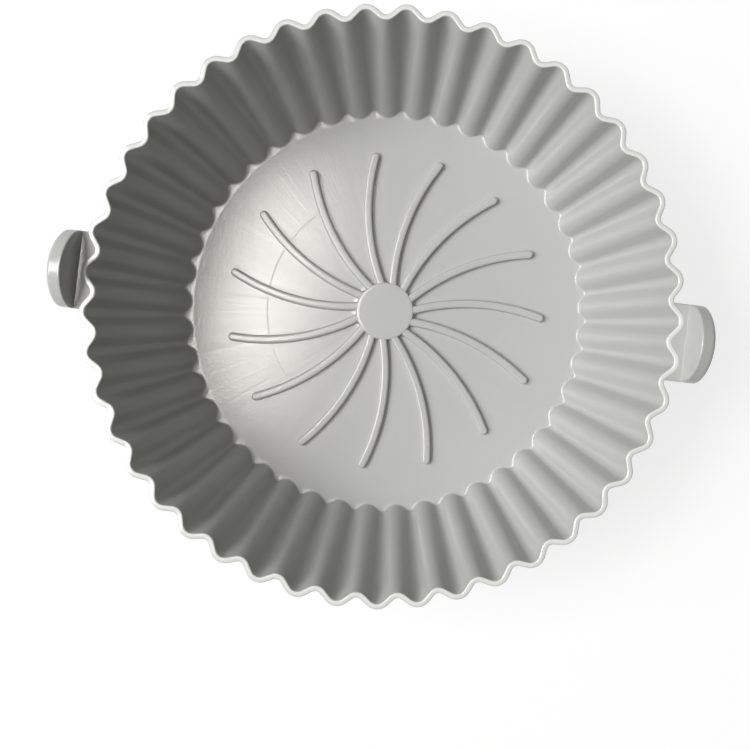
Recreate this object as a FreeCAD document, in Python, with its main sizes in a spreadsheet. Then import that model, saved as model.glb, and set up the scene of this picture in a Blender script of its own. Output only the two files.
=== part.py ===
import FreeCAD, Part
import math
import os
import Sketcher
from FreeCAD import Placement, Rotation, Vector

# Air fryer liner: one moulded piece of silicone.
# The origin is at the centre of the underside, +Z is up and the ears lie on the X axis.
# Lengths are in millimetres and angles in degrees.
SIZES = (
    ("rim_radius", 100.2, "outside of the flute crests at the rim"),
    ("rim_height", 55.0, "rim above the underside"),
    ("wall_thickness", 2.0, "fluted wall"),
    ("floor_thickness", 2.0, "floor between the ribs"),
    ("floor_radius", 76.9, "inside of the flute crests at the floor"),
    ("flute_count", 45, "flutes round the wall"),
    ("rim_flute_depth", 3.6, "crest to valley at the rim"),
    ("floor_flute_depth", 3.1, "crest to valley at the floor"),
    ("rim_crest_round", 3.0, "inside radius of a crest at the rim"),
    ("floor_crest_round", 1.2, "inside radius of a crest at the floor"),
    ("rim_valley_round", 4.0, "inside radius of a valley at the rim"),
    ("floor_valley_round", 3.8, "inside radius of a valley at the floor"),
    ("hub_radius", 11.0, "round pad in the middle of the floor"),
    ("hub_rise", 2.4, "top of the pad above the floor"),
    ("hub_edge_bevel", 0.5, "bevel on the pad's top edge"),
    ("rib_count", 15, "curved ribs on the floor"),
    ("rib_width", 3.1, "width of a rib"),
    ("rib_rise", 2.2, "top of a rib above the floor"),
    ("rib_side", 1.1, "height of a rib's upright sides"),
    ("rib_top_width", 1.5, "width of a rib's flat top"),
    ("rib_tip_radius", 60.8, "outer ends of the ribs"),
    ("rib_arc_radius", 78.25, "radius of the arc that a rib follows"),
    ("rib_axis_miss", 3.1, "distance at which that arc passes the axis"),
    ("rib_first_angle", 10.9, "direction of the first rib's arc centre"),
    ("ear_width", 25.8, "ear along the rim"),
    ("ear_thickness", 5.2, "ear"),
    ("ear_length", 11.0, "ear from its crease to its tip"),
    ("ear_slope", 77.0, "ear above the horizontal"),
    ("ear_standoff", 0.6, "crease of an ear outside the crests"),
    ("ear_root", 3.0, "root of an ear inside the valleys, before the cavity is cut"),
    ("ear_tip_curve", 14.0, "radius of the curved tip"),
    ("ear_corner_round", 5.0, "radius of the tip's corners"),
    ("ear_bend_round", 1.5, "radius of the bend under and over the crease"),
    ("ear_edge_bevel", 1.3, "bevel on an ear's edges"),
)
EAR_TURNS = {"ear_right": 0.0, "ear_left": 180.0}
# An edge counts as sharp where its two faces turn by more than this angle.
SHARP_ANGLE = 15.0
# Outer radius of the cut that shapes an ear's tip, in tip radii, and its depth in ear thicknesses.
TIP_CUT_REACH = 2.0
TIP_CUT_DEPTH = 4.0
# Least radius of a tip, in ear widths, and of a bend, in edge bevels.
LEAST_TIP_CURVE = 0.54
LEAST_BEND = 1.1
# Two lengths or directions closer than this are the same.
SAME = 1e-6


def make_sheet(doc):
    """Put every size in the sheet under its own name."""
    sheet = doc.addObject("Spreadsheet::Sheet", "Sizes")
    for row, (alias, value, note) in enumerate(SIZES, start=1):
        sheet.set("A%d" % row, note)
        sheet.set("B%d" % row, str(value))
        sheet.setAlias("B%d" % row, alias)
    doc.recompute()
    return sheet


def mix(start, end, share):
    """Value at a share of the way from start to end."""
    return start + (end - start) * share


def origin_feature(body, role):
    """A base plane or axis of the body."""
    return next(item for item in body.Origin.OriginFeatures if item.Role == role)


def sketch_on(body, name, role):
    """Empty sketch on one of the body's base planes."""
    sketch = body.newObject("Sketcher::SketchObject", name)
    sketch.AttachmentSupport = [(origin_feature(body, role), "")]
    sketch.MapMode = "FlatFace"
    return sketch


def bind(sketch, constraint, expression):
    """Add a constraint and tie its value to the sheet."""
    index = sketch.addConstraint(constraint)
    sketch.setExpression("Constraints[%d]" % index, expression)
    return index


def tie(sketch, kind, first, second, expression):
    """Fix the distance between two points of a sketch by the sheet."""
    gap = sketch.getPoint(*second) - sketch.getPoint(*first)
    value = gap.x if kind == "DistanceX" else gap.y
    return bind(sketch, Sketcher.Constraint(kind, *first, *second, value), expression)


def add_outline(sketch, corners):
    """Closed outline of straight lines through the corners."""
    lines = []
    for index, corner in enumerate(corners):
        following = corners[(index + 1) % len(corners)]
        lines.append(sketch.addGeometry(Part.LineSegment(corner, following), False))
    for index, line in enumerate(lines):
        following = lines[(index + 1) % len(lines)]
        sketch.addConstraint(Sketcher.Constraint("Coincident", line, 2, following, 1))
    return lines


def polar(radius, angle):
    """Point at a radius and an angle in degrees."""
    turn = math.radians(angle)
    return Vector(radius * math.cos(turn), radius * math.sin(turn), 0.0)


def add_arc(sketch, start, middle, end):
    """Arc through three points."""
    return sketch.addGeometry(Part.Arc(start, middle, end), False)


def add_line(sketch, start, end):
    """Straight line, left out where the two points are the same."""
    if start.distanceToPoint(end) > SAME:
        sketch.addGeometry(Part.LineSegment(start, end), False)


def flute_shape(sheet, height):
    """Inner flute section at a height: crest radius, crest rounding, valley radius and rounding.

    The valley rounding is never larger than where the crest arc and the valley arc would touch:
    there the distance between their centres is the sum of the two radii.
    """
    share = (height - sheet.floor_thickness) / (sheet.rim_height - sheet.floor_thickness)
    crest = mix(sheet.floor_radius, sheet.rim_radius - sheet.wall_thickness, share)
    depth = mix(sheet.floor_flute_depth, sheet.rim_flute_depth, share)
    crest_round = mix(sheet.floor_crest_round, sheet.rim_crest_round, share)
    wanted = mix(sheet.floor_valley_round, sheet.rim_valley_round, share)
    valley = crest - depth
    centre = crest - crest_round
    cosine = math.cos(math.pi / sheet.flute_count)
    rise = centre ** 2 + valley ** 2 - 2.0 * centre * valley * cosine - crest_round ** 2
    largest = rise / (2.0 * (centre * cosine + crest_round - valley))
    return crest, crest_round, valley, min(wanted, largest)


def flank(first, first_round, second, second_round, side):
    """Ends of the straight line that touches two circles on opposite sides.

    The radius to each end is at a right angle to the line, so that its share along the line
    between the centres is the sum of the radii over their distance.
    """
    along = second - first
    share = min(1.0, (first_round + second_round) / along.Length)
    along.normalize()
    across = Vector(-along.y, along.x, 0.0) * side
    toward = along * share + across * math.sqrt(1.0 - share ** 2)
    return first + toward * first_round, second - toward * second_round


def flute_sketch(body, sheet, name, height, offset):
    """Closed fluted outline at a height, moved outward from the inner face by an offset.

    Each flute is a valley arc, a straight flank, a crest arc and a straight flank.
    """
    sketch = sketch_on(body, name, "XY_Plane")
    sketch.setExpression("AttachmentOffset.Base.z", height)
    body.Document.recompute()
    crest, crest_round, valley, valley_round = flute_shape(sheet, sketch.AttachmentOffset.Base.z)
    count = int(sheet.flute_count)
    pitch = 360.0 / count
    crest_reach = crest_round + offset
    valley_reach = valley_round - offset
    for index in range(count):
        angle = index * pitch
        previous = polar(crest - crest_round, angle - pitch / 2.0)
        valley_centre = polar(valley + valley_round, angle)
        crest_centre = polar(crest - crest_round, angle + pitch / 2.0)
        following = polar(valley + valley_round, angle + pitch)
        _, valley_start = flank(previous, crest_reach, valley_centre, valley_reach, -1.0)
        valley_end, crest_start = flank(valley_centre, valley_reach, crest_centre, crest_reach, 1.0)
        crest_end, next_start = flank(crest_centre, crest_reach, following, valley_reach, -1.0)
        add_arc(sketch, valley_start, polar(valley + offset, angle), valley_end)
        add_line(sketch, valley_end, crest_start)
        add_arc(sketch, crest_start, polar(crest + offset, angle + pitch / 2.0), crest_end)
        add_line(sketch, crest_end, next_start)
    return sketch


def flute_loft(body, name, kind, sketches):
    """Loft with straight rulings through flute sections."""
    loft = body.newObject(kind, name)
    loft.Profile = sketches[0]
    loft.Sections = sketches[1:]
    loft.Ruled = True
    body.Document.recompute()
    return loft


def add_wall(body, sheet):
    """Outer form of the wall and floor, still solid inside."""
    foot = flute_sketch(body, sheet, "FootSection", "0", sheet.wall_thickness)
    rim = flute_sketch(body, sheet, "OuterRimSection", "Sizes.rim_height", sheet.wall_thickness)
    return flute_loft(body, "OuterWall", "PartDesign::AdditiveLoft", [foot, rim])


def cut_cavity(body, sheet):
    """Hollow inside of the liner, down to the floor."""
    floor = flute_sketch(body, sheet, "FloorSection", "Sizes.floor_thickness", 0.0)
    rim = flute_sketch(body, sheet, "InnerRimSection", "Sizes.rim_height", 0.0)
    return flute_loft(body, "Cavity", "PartDesign::SubtractiveLoft", [floor, rim])


def edge_names(shape, wanted):
    """Names of the edges that pass a test."""
    return ["Edge%d" % number for number, edge in enumerate(shape.Edges, start=1) if wanted(edge)]


def is_line_along(edge, direction):
    """True where the edge is straight and parallel to a direction."""
    if not isinstance(edge.Curve, Part.Line):
        return False
    return edge.Curve.Direction.cross(direction).Length < SAME


def is_sharp(shape, edge):
    """True where the two faces at an edge turn by more than the sharp angle."""
    faces = shape.ancestorsOfType(edge, Part.Face)
    if len(faces) != 2:
        return False
    middle = edge.valueAt((edge.FirstParameter + edge.LastParameter) / 2.0)
    normals = [face.normalAt(*face.Surface.parameter(middle)) for face in faces]
    return math.degrees(normals[0].getAngle(normals[1])) > SHARP_ANGLE


def dress(body, kind, name, edges, quantity, expression):
    """Rounding or bevel on the named edges of the last feature."""
    base = body.Tip
    feature = body.newObject(kind, name)
    feature.Base = (base, edges)
    feature.setExpression(quantity, expression)
    body.Document.recompute()
    return feature


def add_fillet(body, name, edges, radius):
    """Rounding on the named edges."""
    return dress(body, "PartDesign::Fillet", name, edges, "Radius", radius)


def add_bevel(body, name, edges, size):
    """Bevel on the named edges."""
    return dress(body, "PartDesign::Chamfer", name, edges, "Size", size)


def ear_root(sheet):
    """Distance of the valleys' inner face from the axis at the rim, where an ear's root begins."""
    return sheet.rim_radius - sheet.wall_thickness - sheet.rim_flute_depth


def ear_corners(sheet):
    """Corners of an ear's side view: root, back of the crease, back and front of the tip, crease, root.

    The front face starts at the crease and rises along the slope. The back face runs beside it,
    and meets the underside of the root a thickness times tan(slope / 2) further down the slope.
    """
    slope = math.radians(sheet.ear_slope)
    along = Vector(math.cos(slope), math.sin(slope), 0)
    backward = Vector(math.sin(slope), -math.cos(slope), 0) * sheet.ear_thickness
    crease = Vector(sheet.rim_radius + sheet.ear_standoff, sheet.rim_height, 0)
    root = Vector(ear_root(sheet) - sheet.ear_root, sheet.rim_height, 0)
    tip = crease + along * (sheet.ear_length + sheet.ear_thickness)
    back = crease + backward - along * (sheet.ear_thickness * math.tan(slope / 2.0))
    below = root - Vector(0, sheet.ear_thickness, 0)
    return [below, back, tip + backward, tip, crease, root]


def ear_profile(body, sheet):
    """Side view of an ear: a flat root and a strip bent up from it along the crease."""
    sketch = sketch_on(body, "EarProfile", "XZ_Plane")
    under, back, tip, front, top, root = add_outline(sketch, ear_corners(sheet))
    sketch.addConstraint(Sketcher.Constraint("Horizontal", under))
    sketch.addConstraint(Sketcher.Constraint("Horizontal", top))
    sketch.addConstraint(Sketcher.Constraint("Vertical", root))
    sketch.addConstraint(Sketcher.Constraint("Parallel", back, front))
    sketch.addConstraint(Sketcher.Constraint("Perpendicular", tip, front))
    for line in (tip, root):
        bind(sketch, Sketcher.Constraint("Distance", line, sheet.ear_thickness), "Sizes.ear_thickness")
    reach = "(Sizes.ear_length + Sizes.ear_thickness) * %s(Sizes.ear_slope * 1 deg)"
    tie(sketch, "DistanceX", (front, 2), (front, 1), reach % "cos")
    tie(sketch, "DistanceY", (front, 2), (front, 1), reach % "sin")
    tie(sketch, "DistanceX", (-1, 1), (front, 2), "Sizes.rim_radius + Sizes.ear_standoff")
    tie(sketch, "DistanceY", (-1, 1), (front, 2), "Sizes.rim_height")
    tie(sketch, "DistanceX", (-1, 1), (root, 1),
        "Sizes.rim_radius - Sizes.wall_thickness - Sizes.rim_flute_depth - Sizes.ear_root")
    return sketch


def cut_ear_tip(body, sheet):
    """Curve the tip: what lies outside a circle in the plane of the bent strip goes."""
    sketch = sketch_on(body, "EarTipOutline", "XY_Plane")
    sketch.AttachmentOffset = Placement(Vector(0, 0, 0), Rotation(Vector(0, -1, 0), sheet.ear_slope))
    sketch.setExpression("AttachmentOffset.Base.x", "Sizes.rim_radius + Sizes.ear_standoff")
    sketch.setExpression("AttachmentOffset.Base.z", "Sizes.rim_height")
    sketch.setExpression("AttachmentOffset.Rotation.Angle", "Sizes.ear_slope")
    curve = max(sheet.ear_tip_curve, sheet.ear_width * LEAST_TIP_CURVE)
    curve_rule = "max(Sizes.ear_tip_curve; Sizes.ear_width * %g)" % LEAST_TIP_CURVE
    centre = Vector(sheet.ear_length - curve, 0, 0)
    up = Vector(0, 0, 1)
    reach = TIP_CUT_REACH * curve
    tip = sketch.addGeometry(Part.Circle(centre, up, curve), False)
    outside = sketch.addGeometry(Part.Circle(centre, up, reach), False)
    sketch.addConstraint(Sketcher.Constraint("PointOnObject", tip, 3, -1))
    sketch.addConstraint(Sketcher.Constraint("Coincident", tip, 3, outside, 3))
    tie(sketch, "DistanceX", (tip, 3), (-1, 1), "%s - Sizes.ear_length" % curve_rule)
    bind(sketch, Sketcher.Constraint("Radius", tip, curve), curve_rule)
    bind(sketch, Sketcher.Constraint("Radius", outside, reach), "%s * %g" % (curve_rule, TIP_CUT_REACH))
    pocket = body.newObject("PartDesign::Pocket", "EarTip")
    pocket.Profile = sketch
    pocket.Midplane = True
    pocket.setExpression("Length", "Sizes.ear_thickness * %g" % TIP_CUT_DEPTH)
    body.Document.recompute()
    return pocket


def make_ear(doc, sheet, name, turn):
    """Thumb ear at the rim, before it is joined to the wall."""
    body = doc.addObject("PartDesign::Body", name)
    body.Label = name
    body.Placement = Placement(Vector(0, 0, 0), Rotation(Vector(0, 0, 1), turn))
    pad = body.newObject("PartDesign::Pad", "EarBlank")
    pad.Profile = ear_profile(body, sheet)
    pad.Midplane = True
    pad.setExpression("Length", "Sizes.ear_width")
    doc.recompute()
    cut_ear_tip(body, sheet)
    slope = math.radians(sheet.ear_slope)
    through = Vector(-math.sin(slope), 0, math.cos(slope))
    corners = edge_names(body.Tip.Shape, lambda edge: is_line_along(edge, through))
    add_fillet(body, "EarCorners", corners, "Sizes.ear_corner_round")
    root = ear_root(sheet)
    across = Vector(0, 1, 0)
    bends = edge_names(
        body.Tip.Shape, lambda edge: is_line_along(edge, across) and edge.CenterOfMass.x > root)
    bend_rule = "max(Sizes.ear_bend_round; Sizes.ear_edge_bevel * %g)" % LEAST_BEND
    add_fillet(body, "EarBend", bends, bend_rule)
    shape = body.Tip.Shape
    rims = edge_names(shape, lambda edge: is_sharp(shape, edge) and edge.BoundBox.XMax > root)
    add_bevel(body, "EarEdges", rims, "Sizes.ear_edge_bevel")
    return body


def join_ears(body, ears):
    """Make the ears one piece with the wall."""
    joint = body.newObject("PartDesign::Boolean", "Ears")
    joint.Type = "Fuse"
    joint.setObjects(ears)
    body.Document.recompute()
    return joint


def add_hub(body, sheet):
    """Round pad in the middle of the floor."""
    sketch = sketch_on(body, "HubSketch", "XY_Plane")
    sketch.setExpression("AttachmentOffset.Base.z", "Sizes.floor_thickness")
    circle = sketch.addGeometry(Part.Circle(Vector(0, 0, 0), Vector(0, 0, 1), sheet.hub_radius), False)
    sketch.addConstraint(Sketcher.Constraint("Coincident", circle, 3, -1, 1))
    bind(sketch, Sketcher.Constraint("Radius", circle, sheet.hub_radius), "Sizes.hub_radius")
    pad = body.newObject("PartDesign::Pad", "Hub")
    pad.Profile = sketch
    pad.setExpression("Length", "Sizes.hub_rise")
    body.Document.recompute()
    top = sheet.floor_thickness + sheet.hub_rise
    edges = edge_names(pad.Shape, lambda edge: on_circle(edge, sheet.hub_radius, top))
    return add_bevel(body, "HubEdge", edges, "Sizes.hub_edge_bevel")


def on_circle(edge, radius, height):
    """True where the edge lies on a circle round the axis."""
    if not isinstance(edge.Curve, Part.Circle):
        return False
    return abs(edge.Curve.Radius - radius) < SAME and abs(edge.Curve.Center.z - height) < SAME


def rib_sketch(body, sheet, name, half):
    """Section of a rib with sloped shoulders, centred on the sketch's own upright axis.

    The whole section sweeps along the rib, and half of it turns into the rib's rounded end.
    It starts inside the floor, so that the rib and the floor become one.
    """
    sketch = sketch_on(body, name, "XZ_Plane")
    side = sheet.rib_width / 2.0
    crown = sheet.rib_top_width / 2.0
    low = sheet.floor_thickness / 2.0
    shoulder = sheet.floor_thickness + sheet.rib_side
    top = sheet.floor_thickness + sheet.rib_rise
    corners = [(side, low), (side, shoulder), (crown, top)]
    if half:
        corners += [(0, top), (0, low)]
    else:
        corners += [(-crown, top), (-side, shoulder), (-side, low)]
    lines = add_outline(sketch, [Vector(x, y, 0) for x, y in corners])
    right, slope, crest, base = lines[0], lines[1], lines[2], lines[-1]
    sketch.addConstraint(Sketcher.Constraint("Vertical", right))
    tie(sketch, "DistanceX", (-1, 1), (right, 1), "Sizes.rib_width / 2")
    tie(sketch, "DistanceY", (-1, 1), (right, 1), "Sizes.floor_thickness / 2")
    tie(sketch, "DistanceY", (-1, 1), (right, 2), "Sizes.floor_thickness + Sizes.rib_side")
    tie(sketch, "DistanceX", (-1, 1), (slope, 2), "Sizes.rib_top_width / 2")
    tie(sketch, "DistanceY", (-1, 1), (slope, 2), "Sizes.floor_thickness + Sizes.rib_rise")
    if half:
        for line, end in ((crest, 2), (base, 1)):
            sketch.addConstraint(Sketcher.Constraint("Horizontal", line))
            sketch.addConstraint(Sketcher.Constraint("PointOnObject", line, end, -2))
    else:
        left = lines[4]
        for line in (crest, base):
            sketch.addConstraint(Sketcher.Constraint("Symmetric", line, 1, line, 2, -2))
        sketch.addConstraint(Sketcher.Constraint("Vertical", left))
        tie(sketch, "DistanceY", (-1, 1), (left, 1), "Sizes.floor_thickness + Sizes.rib_side")
    return sketch


def rib_course(sheet):
    """Arc of the first rib: its centre, its end point and the angle that it turns through.

    Both come from the triangle of the liner's axis, the arc's centre and the rib's end.
    """
    radius = sheet.rib_arc_radius
    away = radius + sheet.rib_axis_miss
    end = sheet.rib_tip_radius - sheet.rib_width / 2.0
    sweep = math.degrees(math.acos((away ** 2 + radius ** 2 - end ** 2) / (2.0 * away * radius)))
    ahead = math.degrees(math.acos((away ** 2 + end ** 2 - radius ** 2) / (2.0 * away * end)))
    return polar(away, sheet.rib_first_angle), polar(end, sheet.rib_first_angle + ahead), sweep


def place_upright(sketch, point, angle):
    """Move an upright sketch to a point and turn its width to an angle."""
    sketch.AttachmentOffset = Placement(Vector(point.x, 0, -point.y), Rotation(Vector(0, 1, 0), angle))


def add_ribs(body, sheet):
    """Curved ribs from the hub outward, each with a rounded end."""
    centre, end, sweep = rib_course(sheet)
    first = sheet.rib_first_angle
    section = rib_sketch(body, sheet, "RibSection", False)
    place_upright(section, centre + polar(sheet.rib_arc_radius, first + 180.0), first)
    foot = Vector(sheet.rib_arc_radius, 0, 0)
    axis = section.addGeometry(Part.LineSegment(foot, foot + Vector(0, sheet.rib_rise, 0)), True)
    section.addConstraint(Sketcher.Constraint("Vertical", axis))
    section.addConstraint(Sketcher.Constraint("PointOnObject", axis, 1, -1))
    tie(section, "DistanceX", (-1, 1), (axis, 1), "Sizes.rib_arc_radius")
    tie(section, "DistanceY", (axis, 1), (axis, 2), "Sizes.rib_rise")
    rib = body.newObject("PartDesign::Revolution", "Rib")
    rib.Profile = section
    rib.ReferenceAxis = (section, ["Axis0"])
    rib.Angle = sweep
    rib.Reversed = True
    body.Document.recompute()

    half_section = rib_sketch(body, sheet, "RibEndSection", True)
    place_upright(half_section, end, first + 180.0 - sweep)
    rib_end = body.newObject("PartDesign::Revolution", "RibEnd")
    rib_end.Profile = half_section
    rib_end.ReferenceAxis = (half_section, ["V_Axis"])
    rib_end.Angle = 180.0
    rib_end.Reversed = True
    body.Document.recompute()

    ring = body.newObject("PartDesign::PolarPattern", "Ribs")
    ring.Originals = [rib, rib_end]
    ring.Axis = (origin_feature(body, "Z_Axis"), [""])
    ring.Angle = 360.0
    ring.setExpression("Occurrences", "Sizes.rib_count")
    body.Tip = ring
    body.Document.recompute()
    return ring


def make_liner(doc, sheet):
    """The whole liner as one body."""
    ears = [make_ear(doc, sheet, name, turn) for name, turn in EAR_TURNS.items()]
    body = doc.addObject("PartDesign::Body", "liner")
    body.Label = "liner"
    add_wall(body, sheet)
    join_ears(body, ears)
    cut_cavity(body, sheet)
    add_hub(body, sheet)
    add_ribs(body, sheet)
    return body


def check(doc, sheet, liner):
    """Stop where an object failed, a body is not one valid solid or the ears are lost."""
    for item in doc.Objects:
        if "Invalid" in item.State or "Error" in item.State:
            raise RuntimeError("%s failed: %s" % (item.Label, item.State))
    for body in doc.findObjects("PartDesign::Body"):
        if body.Shape.isNull() or not body.Shape.isValid() or len(body.Shape.Solids) != 1:
            raise RuntimeError("%s is not one valid solid" % body.Label)
    if liner.Shape.BoundBox.ZMax < sheet.rim_height + sheet.ear_length / 2.0:
        raise RuntimeError("the ears are missing from the liner")


def main():
    doc = FreeCAD.newDocument("Liner")
    sheet = make_sheet(doc)
    liner = make_liner(doc, sheet)
    doc.recompute()
    check(doc, sheet, liner)
    os.makedirs("parts", exist_ok=True)
    liner.Shape.exportStep(os.path.join("parts", liner.Label + ".step"))
    box = liner.Shape.BoundBox
    print("%s: volume %.1f, box %.2f x %.2f x %.2f" % (
        liner.Label, liner.Shape.Volume, box.XLength, box.YLength, box.ZLength))


main()
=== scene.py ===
import math

import bmesh
import bpy
import numpy as np
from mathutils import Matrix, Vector


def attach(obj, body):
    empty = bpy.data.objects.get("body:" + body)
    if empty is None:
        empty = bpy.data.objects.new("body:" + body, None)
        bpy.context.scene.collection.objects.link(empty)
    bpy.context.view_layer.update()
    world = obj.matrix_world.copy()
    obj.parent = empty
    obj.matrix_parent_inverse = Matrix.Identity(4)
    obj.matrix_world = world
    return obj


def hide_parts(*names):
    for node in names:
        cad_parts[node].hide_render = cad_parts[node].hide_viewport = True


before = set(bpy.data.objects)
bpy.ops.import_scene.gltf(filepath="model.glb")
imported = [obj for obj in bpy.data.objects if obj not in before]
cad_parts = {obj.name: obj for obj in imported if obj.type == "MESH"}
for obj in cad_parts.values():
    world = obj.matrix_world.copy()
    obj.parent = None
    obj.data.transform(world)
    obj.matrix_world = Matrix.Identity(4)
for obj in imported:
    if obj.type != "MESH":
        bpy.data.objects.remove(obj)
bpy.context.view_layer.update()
print("frame loaded")

# Lengths in the settings are in millimetres and angles in degrees, and noise scales are per metre.
# The meshes are scaled to metres when they are made.
mm = 0.001


# A mesh object from a table of points and a list of faces.
# Points closer than the weld distance become one.
def meshPiece(name, points, faces, weld=0.0):
    mesh = bpy.data.meshes.new(name)
    mesh.from_pydata((np.asarray(points, float) * mm).tolist(), [], faces)
    if weld:
        bm = bmesh.new()
        bm.from_mesh(mesh)
        bmesh.ops.remove_doubles(bm, verts=bm.verts, dist=weld * mm)
        bm.to_mesh(mesh)
        bm.free()
    mesh.validate()
    mesh.polygons.foreach_set("use_smooth", np.ones(len(mesh.polygons), bool))
    mesh.update()
    piece = bpy.data.objects.new(name, mesh)
    bpy.context.scene.collection.objects.link(piece)
    return piece


# Faces between neighbouring rows and columns of a grid of points, counted row by row.
def gridFaces(rows, cols, wrap, first=0):
    across = cols if wrap else cols - 1
    row, col = np.meshgrid(np.arange(rows - 1), np.arange(across), indexing="ij")
    ahead = (col + 1) % cols
    corners = (row * cols + col, row * cols + ahead, (row + 1) * cols + ahead, (row + 1) * cols + col)
    return (np.stack(corners, -1).reshape(-1, 4) + first).tolist()


# Faces from one point to a closed ring of points.
def fanFaces(tip, ring, outward):
    ring = np.asarray(ring)
    ahead = np.roll(ring, -1)
    pair = (ahead, ring) if outward else (ring, ahead)
    return np.stack((np.full(len(ring), tip), *pair), -1).tolist()


# Even steps from 0 to 1.
def steps(count):
    return np.linspace(0.0, 1.0, count + 1)


# The wall and floor: sizes of the flutes.
flutes = {
    "count": 45,
    "rimHeight": 55.0,
    "floorTop": 2.0,
    "wall": 2.0,
    "crest": (77.1, 98.2),  # inside radius at the floor and at the rim
    "depth": (2.7, 3.6),
    "crestRound": (1.6, 3.0),
    "valleyRound": (4.6, 4.0),
    "arcSteps": 5,
    "flankSteps": 2,
}


# Inner fluted outline at each share of the height, and its outward normals.
# Half a flute is a valley arc, a straight flank and a crest arc. The radius to each end of the flank
# leans from the line between the centres, by the angle whose cosine is the sum of the radii
# over the distance of the centres.
def fluteSection(share):
    share = np.atleast_1d(np.asarray(share, float))[:, None]

    def sized(name):
        low, high = flutes[name]
        return low + (high - low) * share

    half = math.pi / flutes["count"]
    crest, crestRound = sized("crest"), sized("crestRound")
    valley, centre = crest - sized("depth"), crest - crestRound
    rise = centre**2 + valley**2 - 2 * centre * valley * math.cos(half) - crestRound**2
    largest = rise / (2 * (centre * math.cos(half) + crestRound - valley))  # leaves no flank
    valleyRound = np.minimum(sized("valleyRound"), largest)
    gapX = centre * math.cos(half) - (valley + valleyRound)
    gapY = centre * math.sin(half)
    distance = np.hypot(gapX, gapY)
    lean = np.arccos(np.minimum(1.0, (crestRound + valleyRound) / distance))
    turn = np.arctan2(gapY, gapX) + lean
    q = steps(flutes["arcSteps"])
    valleyAngle = math.pi + (turn - math.pi) * q
    crestAngle = (turn - math.pi) + (half - turn + math.pi) * q
    x = valley + valleyRound + valleyRound * np.cos(valleyAngle)
    y = valleyRound * np.sin(valleyAngle)
    cx = centre * math.cos(half) + crestRound * np.cos(crestAngle)
    cy = centre * math.sin(half) + crestRound * np.sin(crestAngle)
    f = steps(flutes["flankSteps"])[1:-1]
    fx = x[:, -1:] + (cx[:, :1] - x[:, -1:]) * f
    fy = y[:, -1:] + (cy[:, :1] - y[:, -1:]) * f
    flankTurn = np.repeat(turn - math.pi, len(f), 1)
    x, y = np.hstack((x, fx, cx)), np.hstack((y, fy, cy))
    normal = np.hstack((valleyAngle - math.pi, flankTurn, crestAngle))
    x = np.hstack((x[:, :0:-1], x[:, :-1]))  # the other half is its mirror image
    y = np.hstack((-y[:, :0:-1], y[:, :-1]))
    normal = np.hstack((-normal[:, :0:-1], normal[:, :-1]))
    pitch = 2 * half * np.arange(flutes["count"])[None, :, None]
    px = x[:, None] * np.cos(pitch) - y[:, None] * np.sin(pitch)
    py = x[:, None] * np.sin(pitch) + y[:, None] * np.cos(pitch)
    normal = normal[:, None] + pitch
    shape = (len(share), -1)
    normals = np.stack((np.cos(normal), np.sin(normal)), -1).reshape(*shape, 2)
    return np.stack((px, py), -1).reshape(*shape, 2), normals


# Fluted rings at heights z, moved outward from the inner face by offsets.
def flutedRings(z, offset):
    z, offset = np.asarray(z, float), np.asarray(offset, float)
    share = (z - flutes["floorTop"]) / (flutes["rimHeight"] - flutes["floorTop"])
    points, normals = fluteSection(share)
    flat = points + normals * offset[:, None, None]
    return np.dstack((flat, np.broadcast_to(z[:, None, None], flat.shape[:2] + (1,))))


shell = {
    "footRound": 1.2,
    "rimRound": 0.45,
    "rimDrop": 0.12,  # the rim's top falls outward by this much
    "rimHighlightDepth": (0.2, 0.05),  # below the rim: where the painted highlight on the rim top starts and where it is full
    "crownShares": (0.2, 0.8),
    "rootRound": 0.5,
    "pocketRadius": 73.7,
    "pocketSlope": 3.2,
    "roundSteps": 5,
    "wallSteps": 6,
    "underRings": (6.0, 20.0, 40.0, 60.0, 70.0, 73.5),
    "floorRings": (73.7, 73.4, 66.0, 58.0, 50.0, 45.6, 45.22, 45.15, 45.08, 44.7, 38.0, 26.0, 18.0, 13.0),
    "circleRadius": 45.15,  # a very shallow circle in the floor, on one of its rings
    "circleDepth": 0.008,
    "hubRadius": 11.0,
    "hubRise": 2.4,
    "hubFoot": 0.5,
    "hubEdge": 0.7,
    "hubTopRings": (9.6, 6.0, 2.5),
}


# Heights and offsets of the fluted rows: foot rounding, outer wall, rim with both edges rounded and a top
# that falls outward, inner wall and the fillet at the floor. Each rounding is a quarter circle.
def shellRows():
    rim, floor, wall = flutes["rimHeight"], flutes["floorTop"], flutes["wall"]
    foot, edge, root, drop = shell["footRound"], shell["rimRound"], shell["rootRound"], shell["rimDrop"]
    a = steps(shell["roundSteps"]) * math.pi / 2
    w = steps(shell["wallSteps"])[1:-1]
    crown = np.array(shell["crownShares"])
    z = [foot - foot * np.cos(a), foot + (rim - drop - edge - foot) * w]
    z += [rim - drop - edge + edge * np.sin(a)]
    t = [wall - foot + foot * np.sin(a), np.full(len(w), wall), wall - edge + edge * np.cos(a)]
    z += [rim - drop + drop * crown, rim - edge + edge * np.cos(a)]
    t += [wall - edge + (2 * edge - wall) * crown, edge - edge * np.sin(a)]
    z += [rim - edge + (floor + root - rim + edge) * w, floor + root - root * np.sin(a)]
    t += [np.zeros(len(w)), root * np.cos(a) - root]
    return np.concatenate(z), np.concatenate(t)


# Raises the floor outside the pocket radius in a shallow cone. The rise fades out up the fillet.
def raisePockets(rings):
    low = rings[..., 2] - flutes["floorTop"]
    fillet = slice(-shell["roundSteps"] - 1, None)
    inside = np.zeros(rings.shape[:2])
    inside[fillet] = 1 - low[fillet] / shell["rootRound"]
    past = np.hypot(rings[..., 0], rings[..., 1]) - shell["pocketRadius"]
    rings[..., 2] += inside * np.maximum(past, 0) * math.tan(math.radians(shell["pocketSlope"]))
    return rings


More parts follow.
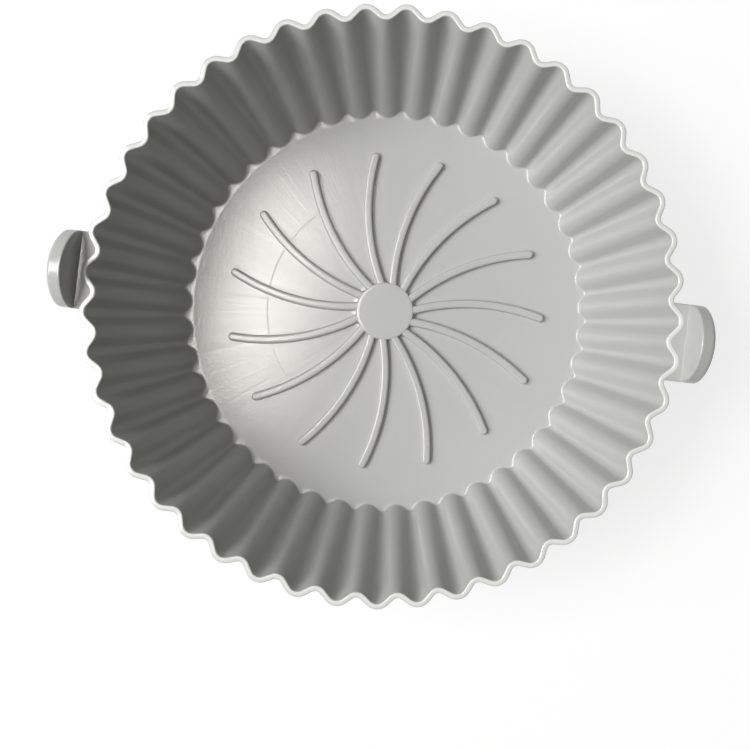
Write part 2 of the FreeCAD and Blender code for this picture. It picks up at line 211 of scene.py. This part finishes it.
# Round rings at radii and heights, on the same directions as a given ring of points.
def roundRings(like, rings):
    angle = np.arctan2(like[:, 1], like[:, 0])
    r, z = np.array(rings, float).T[:, :, None]
    return np.stack((r * np.cos(angle), r * np.sin(angle), np.broadcast_to(z, (len(r), len(angle)))), -1)


# Radii and heights up the hub: a hollow quarter circle at its foot, a full one at its top edge,
# and rings on its top.
def hubRings():
    floor, radius = flutes["floorTop"], shell["hubRadius"]
    foot, edge, top = shell["hubFoot"], shell["hubEdge"], flutes["floorTop"] + shell["hubRise"]
    a = steps(shell["roundSteps"]) * math.pi / 2
    low = np.stack((radius + foot - foot * np.sin(a), floor + foot - foot * np.cos(a)), -1)
    high = np.stack((radius - edge + edge * np.cos(a), top - edge + edge * np.sin(a)), -1)
    inner = np.array([(r, top) for r in shell["hubTopRings"]])
    return np.vstack((low, high, inner))


# Rings from the middle of the underside outward, up the outer wall, over the rim, down the inner wall,
# over the floor and up the hub. A fan round one point closes each end.
def makeShell():
    fluted = raisePockets(flutedRings(*shellRows()))
    under = [(r, 0.0) for r in shell["underRings"]]
    floor = [(r, flutes["floorTop"] - shell["circleDepth"] * (r == shell["circleRadius"]))
             for r in shell["floorRings"]]
    rings = np.concatenate((roundRings(fluted[0], under), fluted,
                            roundRings(fluted[-1], floor), roundRings(fluted[-1], hubRings())))
    rows, cols = rings.shape[:2]
    top = flutes["floorTop"] + shell["hubRise"]
    points = np.vstack((rings.reshape(-1, 3), ((0, 0, 0), (0, 0, top))))
    faces = gridFaces(rows, cols, True)
    faces += fanFaces(rows * cols, np.arange(cols), True)
    faces += fanFaces(rows * cols + 1, np.arange(cols) + (rows - 1) * cols, False)
    piece = meshPiece("shell", points, faces)
    bottom, full = (flutes["rimHeight"] - depth for depth in shell["rimHighlightDepth"])
    lip = piece.data.attributes.new("lip", "FLOAT", "POINT")  # painted highlight, a paler colour that fades in up to the rim
    lip.data.foreach_set("value", np.clip((points[:, 2] - bottom) / (full - bottom), 0, 1))
    return piece


ribs = {
    "count": 15,
    "width": 3.1,
    "rise": 2.2,
    "shoulder": 0.9,
    "foot": 0.12,
    "sunk": 0.15,
    "tipRadius": 60.8,
    "arcRadius": 78.25,
    "axisMiss": 3.1,
    "firstAngle": 10.9,
    "startShare": 0.14,
    "alongSteps": 34,
    "shoulderSteps": 5,
    "footSteps": 3,
    "endSteps": 7,
    "crownShare": 0.7,
    "weld": 0.002,
}


# Closed section of a rib as pairs of side position and height: a small fillet at each foot,
# upright sides, a quarter circle at each shoulder and a flat top.
def ribSection():
    side, floor = ribs["width"] / 2, flutes["floorTop"]
    shoulder, top = ribs["shoulder"], flutes["floorTop"] + ribs["rise"]
    a = steps(ribs["shoulderSteps"]) * math.pi / 2
    right = np.stack((side - shoulder + shoulder * np.cos(a), top - shoulder + shoulder * np.sin(a)), -1)
    crownSide = (side - shoulder) * ribs["crownShare"]
    crown = np.array(((crownSide, top), (-crownSide, top)))
    b = steps(ribs["footSteps"]) * math.pi / 2
    foot = ribs["foot"]
    toe = np.stack((side + foot - foot * np.sin(b), floor + foot - foot * np.cos(b)), -1)
    low = floor - ribs["sunk"]
    half = np.vstack(((side + foot, low), toe, right))
    return np.vstack((half, crown, half[::-1] * (-1, 1)))


# The rib's middle line is an arc round a centre outside the floor. Its end and the angle it turns through
# come from the triangle of the axis, the centre and the end, by the rule of cosines.
# At the end each half of the section turns a quarter circle, so that both halves meet.
def makeRibs():
    radius = ribs["arcRadius"]
    away, end = radius + ribs["axisMiss"], ribs["tipRadius"] - ribs["width"] / 2
    sweep = math.acos((away**2 + radius**2 - end**2) / (2 * away * radius))
    first = math.radians(ribs["firstAngle"])
    along = ribs["startShare"] + (1 - ribs["startShare"]) * steps(ribs["alongSteps"])
    turn = first + math.pi - sweep * along
    section = ribSection()
    side, height = section[None, :, 0], section[None, :, 1]
    centre = away * np.array((math.cos(first), math.sin(first)))
    x = centre[0] + (radius + side) * np.cos(turn)[:, None]
    y = centre[1] + (radius + side) * np.sin(turn)[:, None]
    last = turn[-1]
    out = np.array((math.cos(last), math.sin(last)))
    onward = np.array((math.sin(last), -math.cos(last)))
    q = (steps(ribs["endSteps"])[1:] * math.pi / 2)[:, None]
    ex = centre[0] + radius * out[0] + side * np.cos(q) * out[0] + np.abs(side) * np.sin(q) * onward[0]
    ey = centre[1] + radius * out[1] + side * np.cos(q) * out[1] + np.abs(side) * np.sin(q) * onward[1]
    x, y = np.vstack((x, ex)), np.vstack((y, ey))
    z = np.broadcast_to(height, x.shape)
    rows, cols = x.shape
    spin = 2 * math.pi / ribs["count"] * np.arange(ribs["count"])[:, None, None]
    points = np.stack((x * np.cos(spin) - y * np.sin(spin), x * np.sin(spin) + y * np.cos(spin),
                       np.broadcast_to(z, (ribs["count"],) + z.shape)), -1)
    faces = []
    for index in range(ribs["count"]):
        start = index * rows * cols
        faces += [face[::-1] for face in gridFaces(rows, cols, True, start)]
        faces.append(list(range(start, start + cols)))  # close the end inside the pad
    return meshPiece("ribs", points.reshape(-1, 3), faces, ribs["weld"])


ears = {
    "width": 25.8,
    "thickness": 5.2,
    "length": 10.9,
    "slope": 77.0,
    "crease": 100.8,  # distance from the axis
    "tipCurve": 14.0,
    "cornerRound": 7.5,
    "frontRound": 0.5,
    "backRound": 1.5,
    "bendRound": 0.05,
    "rootLength": 4.0,
    "rootDrop": 0.2,
    "wallShare": 0.5,  # the root ends at this share of the wall's thickness
    "sideSteps": (6, 8, 4),
    "nearStep": 0.05,
    "cornerSteps": 10,
    "tipSteps": 20,
    "edgeSteps": 6,
    "faceSteps": 4,
    "edgeShares": (0.15, 0.85),
    "weld": 0.004,
}


# Slope of an ear, half its thickness, radius of the bend's middle line, how far the bend reaches along
# both straight parts, and how far the middle line's corner lies past the front's.
def bendSizes():
    slope, half = math.radians(ears["slope"]), ears["thickness"] / 2
    radius = ears["bendRound"] + half
    return slope, half, radius, radius * math.tan(slope / 2), half * math.tan(slope / 2)


# Outline of an ear laid flat: distance past the crease, distance to the side, and the outward normal.
# It runs from the root along one side, round a corner, along the curved tip and back.
# A short step before and after the bend keeps its turned normals off the flat parts.
# The last value is the distance at which the corner starts.
def earOutline(bendStart, bendEnd):
    half, corner, curve = ears["width"] / 2, ears["cornerRound"], ears["tipCurve"]
    tipCentre = ears["length"] - curve
    inner = curve - corner
    cornerX = tipCentre + math.sqrt(inner**2 - (half - corner) ** 2)
    aim = math.atan2(half - corner, cornerX - tipCentre)
    near = ears["nearStep"]
    starts = np.array((bendStart - ears["rootLength"], bendStart, bendEnd + near))
    ends = np.array((bendStart - near, bendEnd, cornerX))
    v = np.concatenate([low + (high - low) * steps(count)
                        for low, high, count in zip(starts, ends, ears["sideSteps"])])
    side = np.stack((v, np.full_like(v, half), np.full_like(v, math.pi / 2)), -1)
    a = math.pi / 2 + (aim - math.pi / 2) * steps(ears["cornerSteps"])[1:]
    bend = np.stack((cornerX + corner * np.cos(a), half - corner + corner * np.sin(a), a), -1)
    a = aim - aim * steps(ears["tipSteps"])[1:]
    tip = np.stack((tipCentre + curve * np.cos(a), curve * np.sin(a), a), -1)
    one = np.vstack((side, bend, tip))
    path = np.vstack((one, one[-2::-1] * (1, -1, -1)))
    return path[:, :2], np.stack((np.cos(path[:, 2]), np.sin(path[:, 2])), -1), cornerX


# The wall's middle line near an ear at a height, as x for each side position y.
def wallLine(y, height, mirrored):
    ring = flutedRings([height], [flutes["wall"] * ears["wallShare"]])[0]
    if mirrored:
        ring = ring * (-1, -1, 1)
    near = ring[(ring[:, 0] > 0) & (np.abs(ring[:, 1]) < ears["width"])]
    near = near[np.argsort(near[:, 1])]
    return np.interp(y, near[:, 1], near[:, 0])


# Places points of the flat ear on the bent strip. The middle surface is straight, then an arc through
# the slope, then straight. The root is stretched or squeezed so that it ends inside the wall.
def bendEar(v, y, h, mirrored):
    slope, half, radius, reach, shift = bendSizes()
    corner = ears["crease"] + shift
    z0 = flutes["rimHeight"] - half - ears["rootDrop"]
    m = v + shift
    phi = np.clip((m + reach) / (2 * reach), 0, 1) * slope
    past = np.maximum(m - reach, 0)
    x = corner - reach + radius * np.sin(phi) + past * math.cos(slope) - h * np.sin(phi)
    z = z0 + radius - radius * np.cos(phi) + past * math.sin(slope) + h * np.cos(phi)
    back = np.clip((-reach - m) / ears["rootLength"], 0, 1)
    high = wallLine(y, flutes["rimHeight"], mirrored)
    low = wallLine(y, flutes["rimHeight"] - 2 * half, mirrored)
    wall = low + (high - low) * (h + half) / (2 * half)
    return np.stack((x + (wall - x) * back, y, z), -1)


# Inset and height over an ear's edge: a large quarter circle at the back, a straight part,
# and a small quarter circle in front.
def earEdge():
    half, back, front = ears["thickness"] / 2, ears["backRound"], ears["frontRound"]
    a = steps(ears["edgeSteps"]) * math.pi / 2
    inset = np.concatenate((back - back * np.sin(a), (0.0, 0.0), front - front * np.cos(a)))
    between = (back - half) + (2 * half - back - front) * np.array(ears["edgeShares"])
    lift = np.concatenate((back - half - back * np.cos(a), between, half - front + front * np.sin(a)))
    return inset, lift


# An ear as rows of points from its middle line over the back face, round the edge and back over
# the front face. The rows are laid flat first and then bent.
def makeEar(name, mirrored):
    _, half, _, reach, shift = bendSizes()
    path, normal, cornerX = earOutline(-reach - shift, reach - shift)
    inset, lift = earEdge()
    ring = path[None] - normal[None] * inset[:, None, None]
    lift = np.repeat(lift[:, None], len(path), 1)
    spine = np.stack((np.minimum(path[:, 0], cornerX), np.zeros(len(path))), -1)
    f = steps(ears["faceSteps"])[:-1, None, None]
    backFace = spine[None] + (ring[:1] - spine[None]) * f
    frontFace = spine[None] + (ring[-1:] - spine[None]) * f
    flat = np.concatenate((backFace, ring, frontFace[::-1]))
    lift = np.concatenate((np.full(backFace.shape[:2], -half), lift, np.full(backFace.shape[:2], half)))
    points = bendEar(flat[..., 0], flat[..., 1], lift, mirrored)
    rows, cols = points.shape[:2]
    faces = gridFaces(rows, cols, False)
    for col, flip in ((0, False), (cols - 1, True)):  # close the root, which lies inside the wall
        for low in range(rows // 2 - 1):
            high = rows - 1 - low
            face = [row * cols + col for row in (low, low + 1, high - 1, high)]
            faces.append(face[::-1] if flip else face)
    if mirrored:
        points = points * (-1, -1, 1)
    ear = meshPiece(name, points.reshape(-1, 3), faces, ears["weld"])
    bm = bmesh.new()
    bm.from_mesh(ear.data)
    bmesh.ops.recalc_face_normals(bm, faces=bm.faces)
    bm.to_mesh(ear.data)
    bm.free()
    return ear


pieces = [makeShell(), makeRibs(), makeEar("ear-right", False), makeEar("ear-left", True)]
print("pieces made")


silicone = {
    "color": (0.415, 0.415, 0.402),
    "shade": (0.395, 0.395, 0.384),
    # painted highlight: the paler colour painted on the rim top in place of its bright highlight
    "lip": (0.68, 0.68, 0.66),
    "roughness": (0.125, 0.215),
    "specular": 0.6,
    "cloudScale": 26.0,
    "cloudDetail": 2.0,
    "grainScale": 900.0,
    "grainDetail": 3.0,
    "grainHeight": 0.02,
    "streakCount": 100.0,
    "streakDrift": 14.0,
    "streakDetail": 4.0,
    "streakRange": (0.3, 0.7),  # of the noise, over which the roughness changes
    "streakHeight": 0.025,
    "streakFade": (14.0, 60.0),  # radii between which the streaks grow to their full height
}


# A node with its inputs set by name or number.
def addNode(tree, kind, inputs=(), **settings):
    node = tree.nodes.new(kind)
    for key, value in settings.items():
        setattr(node, key, value)
    for key, value in dict(inputs).items():
        if isinstance(value, bpy.types.NodeSocket):
            tree.links.new(value, node.inputs[key])
        else:
            node.inputs[key].default_value = value
    return node


# Fine grain everywhere, and faint streaks that run outward from the axis: noise over the direction
# from the axis. The streaks vary the roughness too. A slow noise varies the colour, and a painted highlight
# makes the rim top paler.
def makeSilicone():
    material = bpy.data.materials.new("silicone")
    material.use_nodes = True
    tree = material.node_tree
    tree.nodes.clear()
    place = addNode(tree, "ShaderNodeTexCoord").outputs["Object"]
    grain = addNode(tree, "ShaderNodeTexNoise", {
        "Vector": place, "Scale": silicone["grainScale"], "Detail": silicone["grainDetail"]})
    cloud = addNode(tree, "ShaderNodeTexNoise", {
        "Vector": place, "Scale": silicone["cloudScale"], "Detail": silicone["cloudDetail"]})
    flat = addNode(tree, "ShaderNodeVectorMath", {0: place, 1: (1.0, 1.0, 0.0)}, operation="MULTIPLY")
    aim = addNode(tree, "ShaderNodeVectorMath", {0: flat.outputs[0]}, operation="NORMALIZE")
    length = addNode(tree, "ShaderNodeVectorMath", {0: flat.outputs[0]}, operation="LENGTH")
    drift = addNode(tree, "ShaderNodeMath", {
        0: length.outputs["Value"], 1: silicone["streakDrift"]}, operation="MULTIPLY")
    lift = addNode(tree, "ShaderNodeCombineXYZ", {"Z": drift.outputs[0]})
    wide = addNode(tree, "ShaderNodeVectorMath", {
        0: aim.outputs[0], "Scale": silicone["streakCount"]}, operation="SCALE")
    spot = addNode(tree, "ShaderNodeVectorMath", {0: wide.outputs[0], 1: lift.outputs[0]}, operation="ADD")
    streak = addNode(tree, "ShaderNodeTexNoise", {
        "Vector": spot.outputs[0], "Scale": 1.0, "Detail": silicone["streakDetail"]})
    fade = addNode(tree, "ShaderNodeMapRange", {
        "Value": length.outputs["Value"], "From Min": silicone["streakFade"][0] * mm,
        "From Max": silicone["streakFade"][1] * mm, "To Min": 0.0, "To Max": 1.0})
    rough = addNode(tree, "ShaderNodeMapRange", {
        "Value": streak.outputs["Fac"],
        "From Min": silicone["streakRange"][0], "From Max": silicone["streakRange"][1],
        "To Min": silicone["roughness"][0], "To Max": silicone["roughness"][1]})
    tint = addNode(tree, "ShaderNodeMix", {
        "Factor": cloud.outputs["Fac"], "A": (*silicone["shade"], 1.0), "B": (*silicone["color"], 1.0)},
        data_type="RGBA")
    # painted highlight: toward the rim top the colour is mixed to a paler one
    lip = addNode(tree, "ShaderNodeAttribute", attribute_name="lip")
    paint = addNode(tree, "ShaderNodeMix", {
        "Factor": lip.outputs["Fac"], "A": tint.outputs["Result"], "B": (*silicone["lip"], 1.0)},
        data_type="RGBA")
    streakBump = addNode(tree, "ShaderNodeBump", {
        "Height": streak.outputs["Fac"], "Distance": silicone["streakHeight"] * mm,
        "Strength": fade.outputs[0]})
    grainBump = addNode(tree, "ShaderNodeBump", {
        "Height": grain.outputs["Fac"], "Distance": silicone["grainHeight"] * mm,
        "Strength": 1.0, "Normal": streakBump.outputs[0]})
    shader = addNode(tree, "ShaderNodeBsdfPrincipled", {
        "Base Color": paint.outputs["Result"], "Roughness": rough.outputs[0],
        "Normal": grainBump.outputs[0], "Specular IOR Level": silicone["specular"]})
    output = addNode(tree, "ShaderNodeOutputMaterial")
    tree.links.new(shader.outputs[0], output.inputs["Surface"])
    return material


finish = makeSilicone()
for piece in pieces:
    piece.data.materials.append(finish)
    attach(piece, "root")
    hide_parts("liner")
print("silicone applied")


backdrop = {
    "color": (0.9, 0.9, 0.9, 1.0),
    "size": 3000.0,
    "shine": 0.8,  # share of plain white in what is seen of the floor
    "fill": 0.02,  # strength of the sky as a light
}


# 1 for rays from the camera and for reflected and transmitted rays, so that they show the backdrop.
def seenRays(tree):
    path = addNode(tree, "ShaderNodeLightPath")
    first = addNode(tree, "ShaderNodeMath", {
        0: path.outputs["Is Camera Ray"], 1: path.outputs["Is Glossy Ray"]}, operation="MAXIMUM")
    return addNode(tree, "ShaderNodeMath", {
        0: first.outputs[0], 1: path.outputs["Is Transmission Ray"]}, operation="MAXIMUM").outputs[0]


# A pale floor. Seen rays take most of their white from a plain backdrop, and the rest keeps the shadow.
def makeFloor():
    side = backdrop["size"] / 2
    points = ((-side, -side, 0), (side, -side, 0), (side, side, 0), (-side, side, 0))
    floor = meshPiece("floor", points, [[0, 1, 2, 3]])
    material = bpy.data.materials.new("paleFloor")
    material.use_nodes = True
    tree = material.node_tree
    tree.nodes.clear()
    share = addNode(tree, "ShaderNodeMath", {0: seenRays(tree), 1: backdrop["shine"]}, operation="MULTIPLY")
    matt = addNode(tree, "ShaderNodeBsdfDiffuse", {"Color": backdrop["color"]})
    white = addNode(tree, "ShaderNodeEmission", {"Color": (1.0, 1.0, 1.0, 1.0), "Strength": 1.0})
    both = addNode(tree, "ShaderNodeMixShader", {
        0: share.outputs[0], 1: matt.outputs[0], 2: white.outputs[0]})
    output = addNode(tree, "ShaderNodeOutputMaterial")
    tree.links.new(both.outputs[0], output.inputs["Surface"])
    floor.data.materials.append(material)


# An even sky: faint as a light, white where it is seen.
def makeWorld():
    world = bpy.data.worlds.new("sky")
    bpy.context.scene.world = world
    world.use_nodes = True
    tree = world.node_tree
    strength = addNode(tree, "ShaderNodeMapRange", {
        "Value": seenRays(tree), "From Min": 0.0, "From Max": 1.0,
        "To Min": backdrop["fill"], "To Max": 1.0})
    back = tree.nodes["Background"]
    back.inputs["Color"].default_value = (1.0, 1.0, 1.0, 1.0)
    tree.links.new(strength.outputs[0], back.inputs["Strength"])


view = {
    "place": (9.0, -10.3, 375.0),
    "roll": 6.92,
    "lens": 46.6,
    "sensor": 36.0,
    "shift": (-0.04, -0.0457),
    "clip": (10.0, 10000.0),
}


# The camera looks straight down, a little off the axis and turned by the roll.
def makeCamera():
    data = bpy.data.cameras.new("camera")
    data.lens = view["lens"]
    data.sensor_width = view["sensor"]
    data.shift_x, data.shift_y = view["shift"]
    data.clip_start, data.clip_end = (edge * mm for edge in view["clip"])
    camera = bpy.data.objects.new("camera", data)
    bpy.context.scene.collection.objects.link(camera)
    camera.location = Vector(view["place"]) * mm
    camera.rotation_euler = (0.0, 0.0, math.radians(view["roll"]))
    bpy.context.scene.camera = camera


# Direction toward a lamp from its height above the horizon and its turn in the picture,
# where 180 is from the left.
def toward(height, turn):
    turn = math.radians(turn + view["roll"])
    height = math.radians(height)
    level = math.cos(height)
    return Vector((math.cos(turn) * level, math.sin(turn) * level, math.sin(height)))


# A lamp at its height, turn and distance, aimed at the middle of the stage.
def placeLamp(light, settings):
    lamp = bpy.data.objects.new(light.name, light)
    bpy.context.scene.collection.objects.link(lamp)
    aim = toward(settings["height"], settings["turn"])
    lamp.location = aim * settings["distance"] * mm
    lamp.rotation_mode = "QUATERNION"
    lamp.rotation_quaternion = aim.to_track_quat("Z", "Y")


sun = {
    "power": 1.3,
    "softness": 25.0,
    "height": 36.0,
    "turn": 176.0,
    "distance": 0.0,
}


# A weak low sun from the side, which reaches the far side of the wall.
def makeSun():
    light = bpy.data.lights.new("sun", "SUN")
    light.energy = sun["power"]
    light.angle = math.radians(sun["softness"])
    placeLamp(light, sun)


window = {
    "power": 82.0,
    "size": (2200.0, 800.0),
    "height": 56.0,
    "turn": 176.0,
    "distance": 3000.0,
}


# The main light: a wide window at the side, high enough to leave the near side of the wall in shade.
def makeWindow():
    light = bpy.data.lights.new("window", "AREA")
    light.energy = window["power"]
    light.shape = "RECTANGLE"
    light.size, light.size_y = (side * mm for side in window["size"])
    placeLamp(light, window)


softBox = {
    "power": 3.4,
    "color": (1.0, 0.97, 0.91),
    "size": (500.0, 170.0),
    "height": 79.3,
    "turn": 164.0,
    "distance": 1500.0,
}


# A soft box nearly overhead, whose sheen lies on the floor left of the hub.
def makeSoftBox():
    light = bpy.data.lights.new("softBox", "AREA")
    light.energy = softBox["power"]
    light.color = softBox["color"]
    light.shape = "ELLIPSE"
    light.size, light.size_y = (side * mm for side in softBox["size"])
    placeLamp(light, softBox)


makeFloor()
makeWorld()
makeSun()
makeWindow()
makeSoftBox()
makeCamera()
bpy.context.scene.view_settings.view_transform = "Standard"
print("stage made")
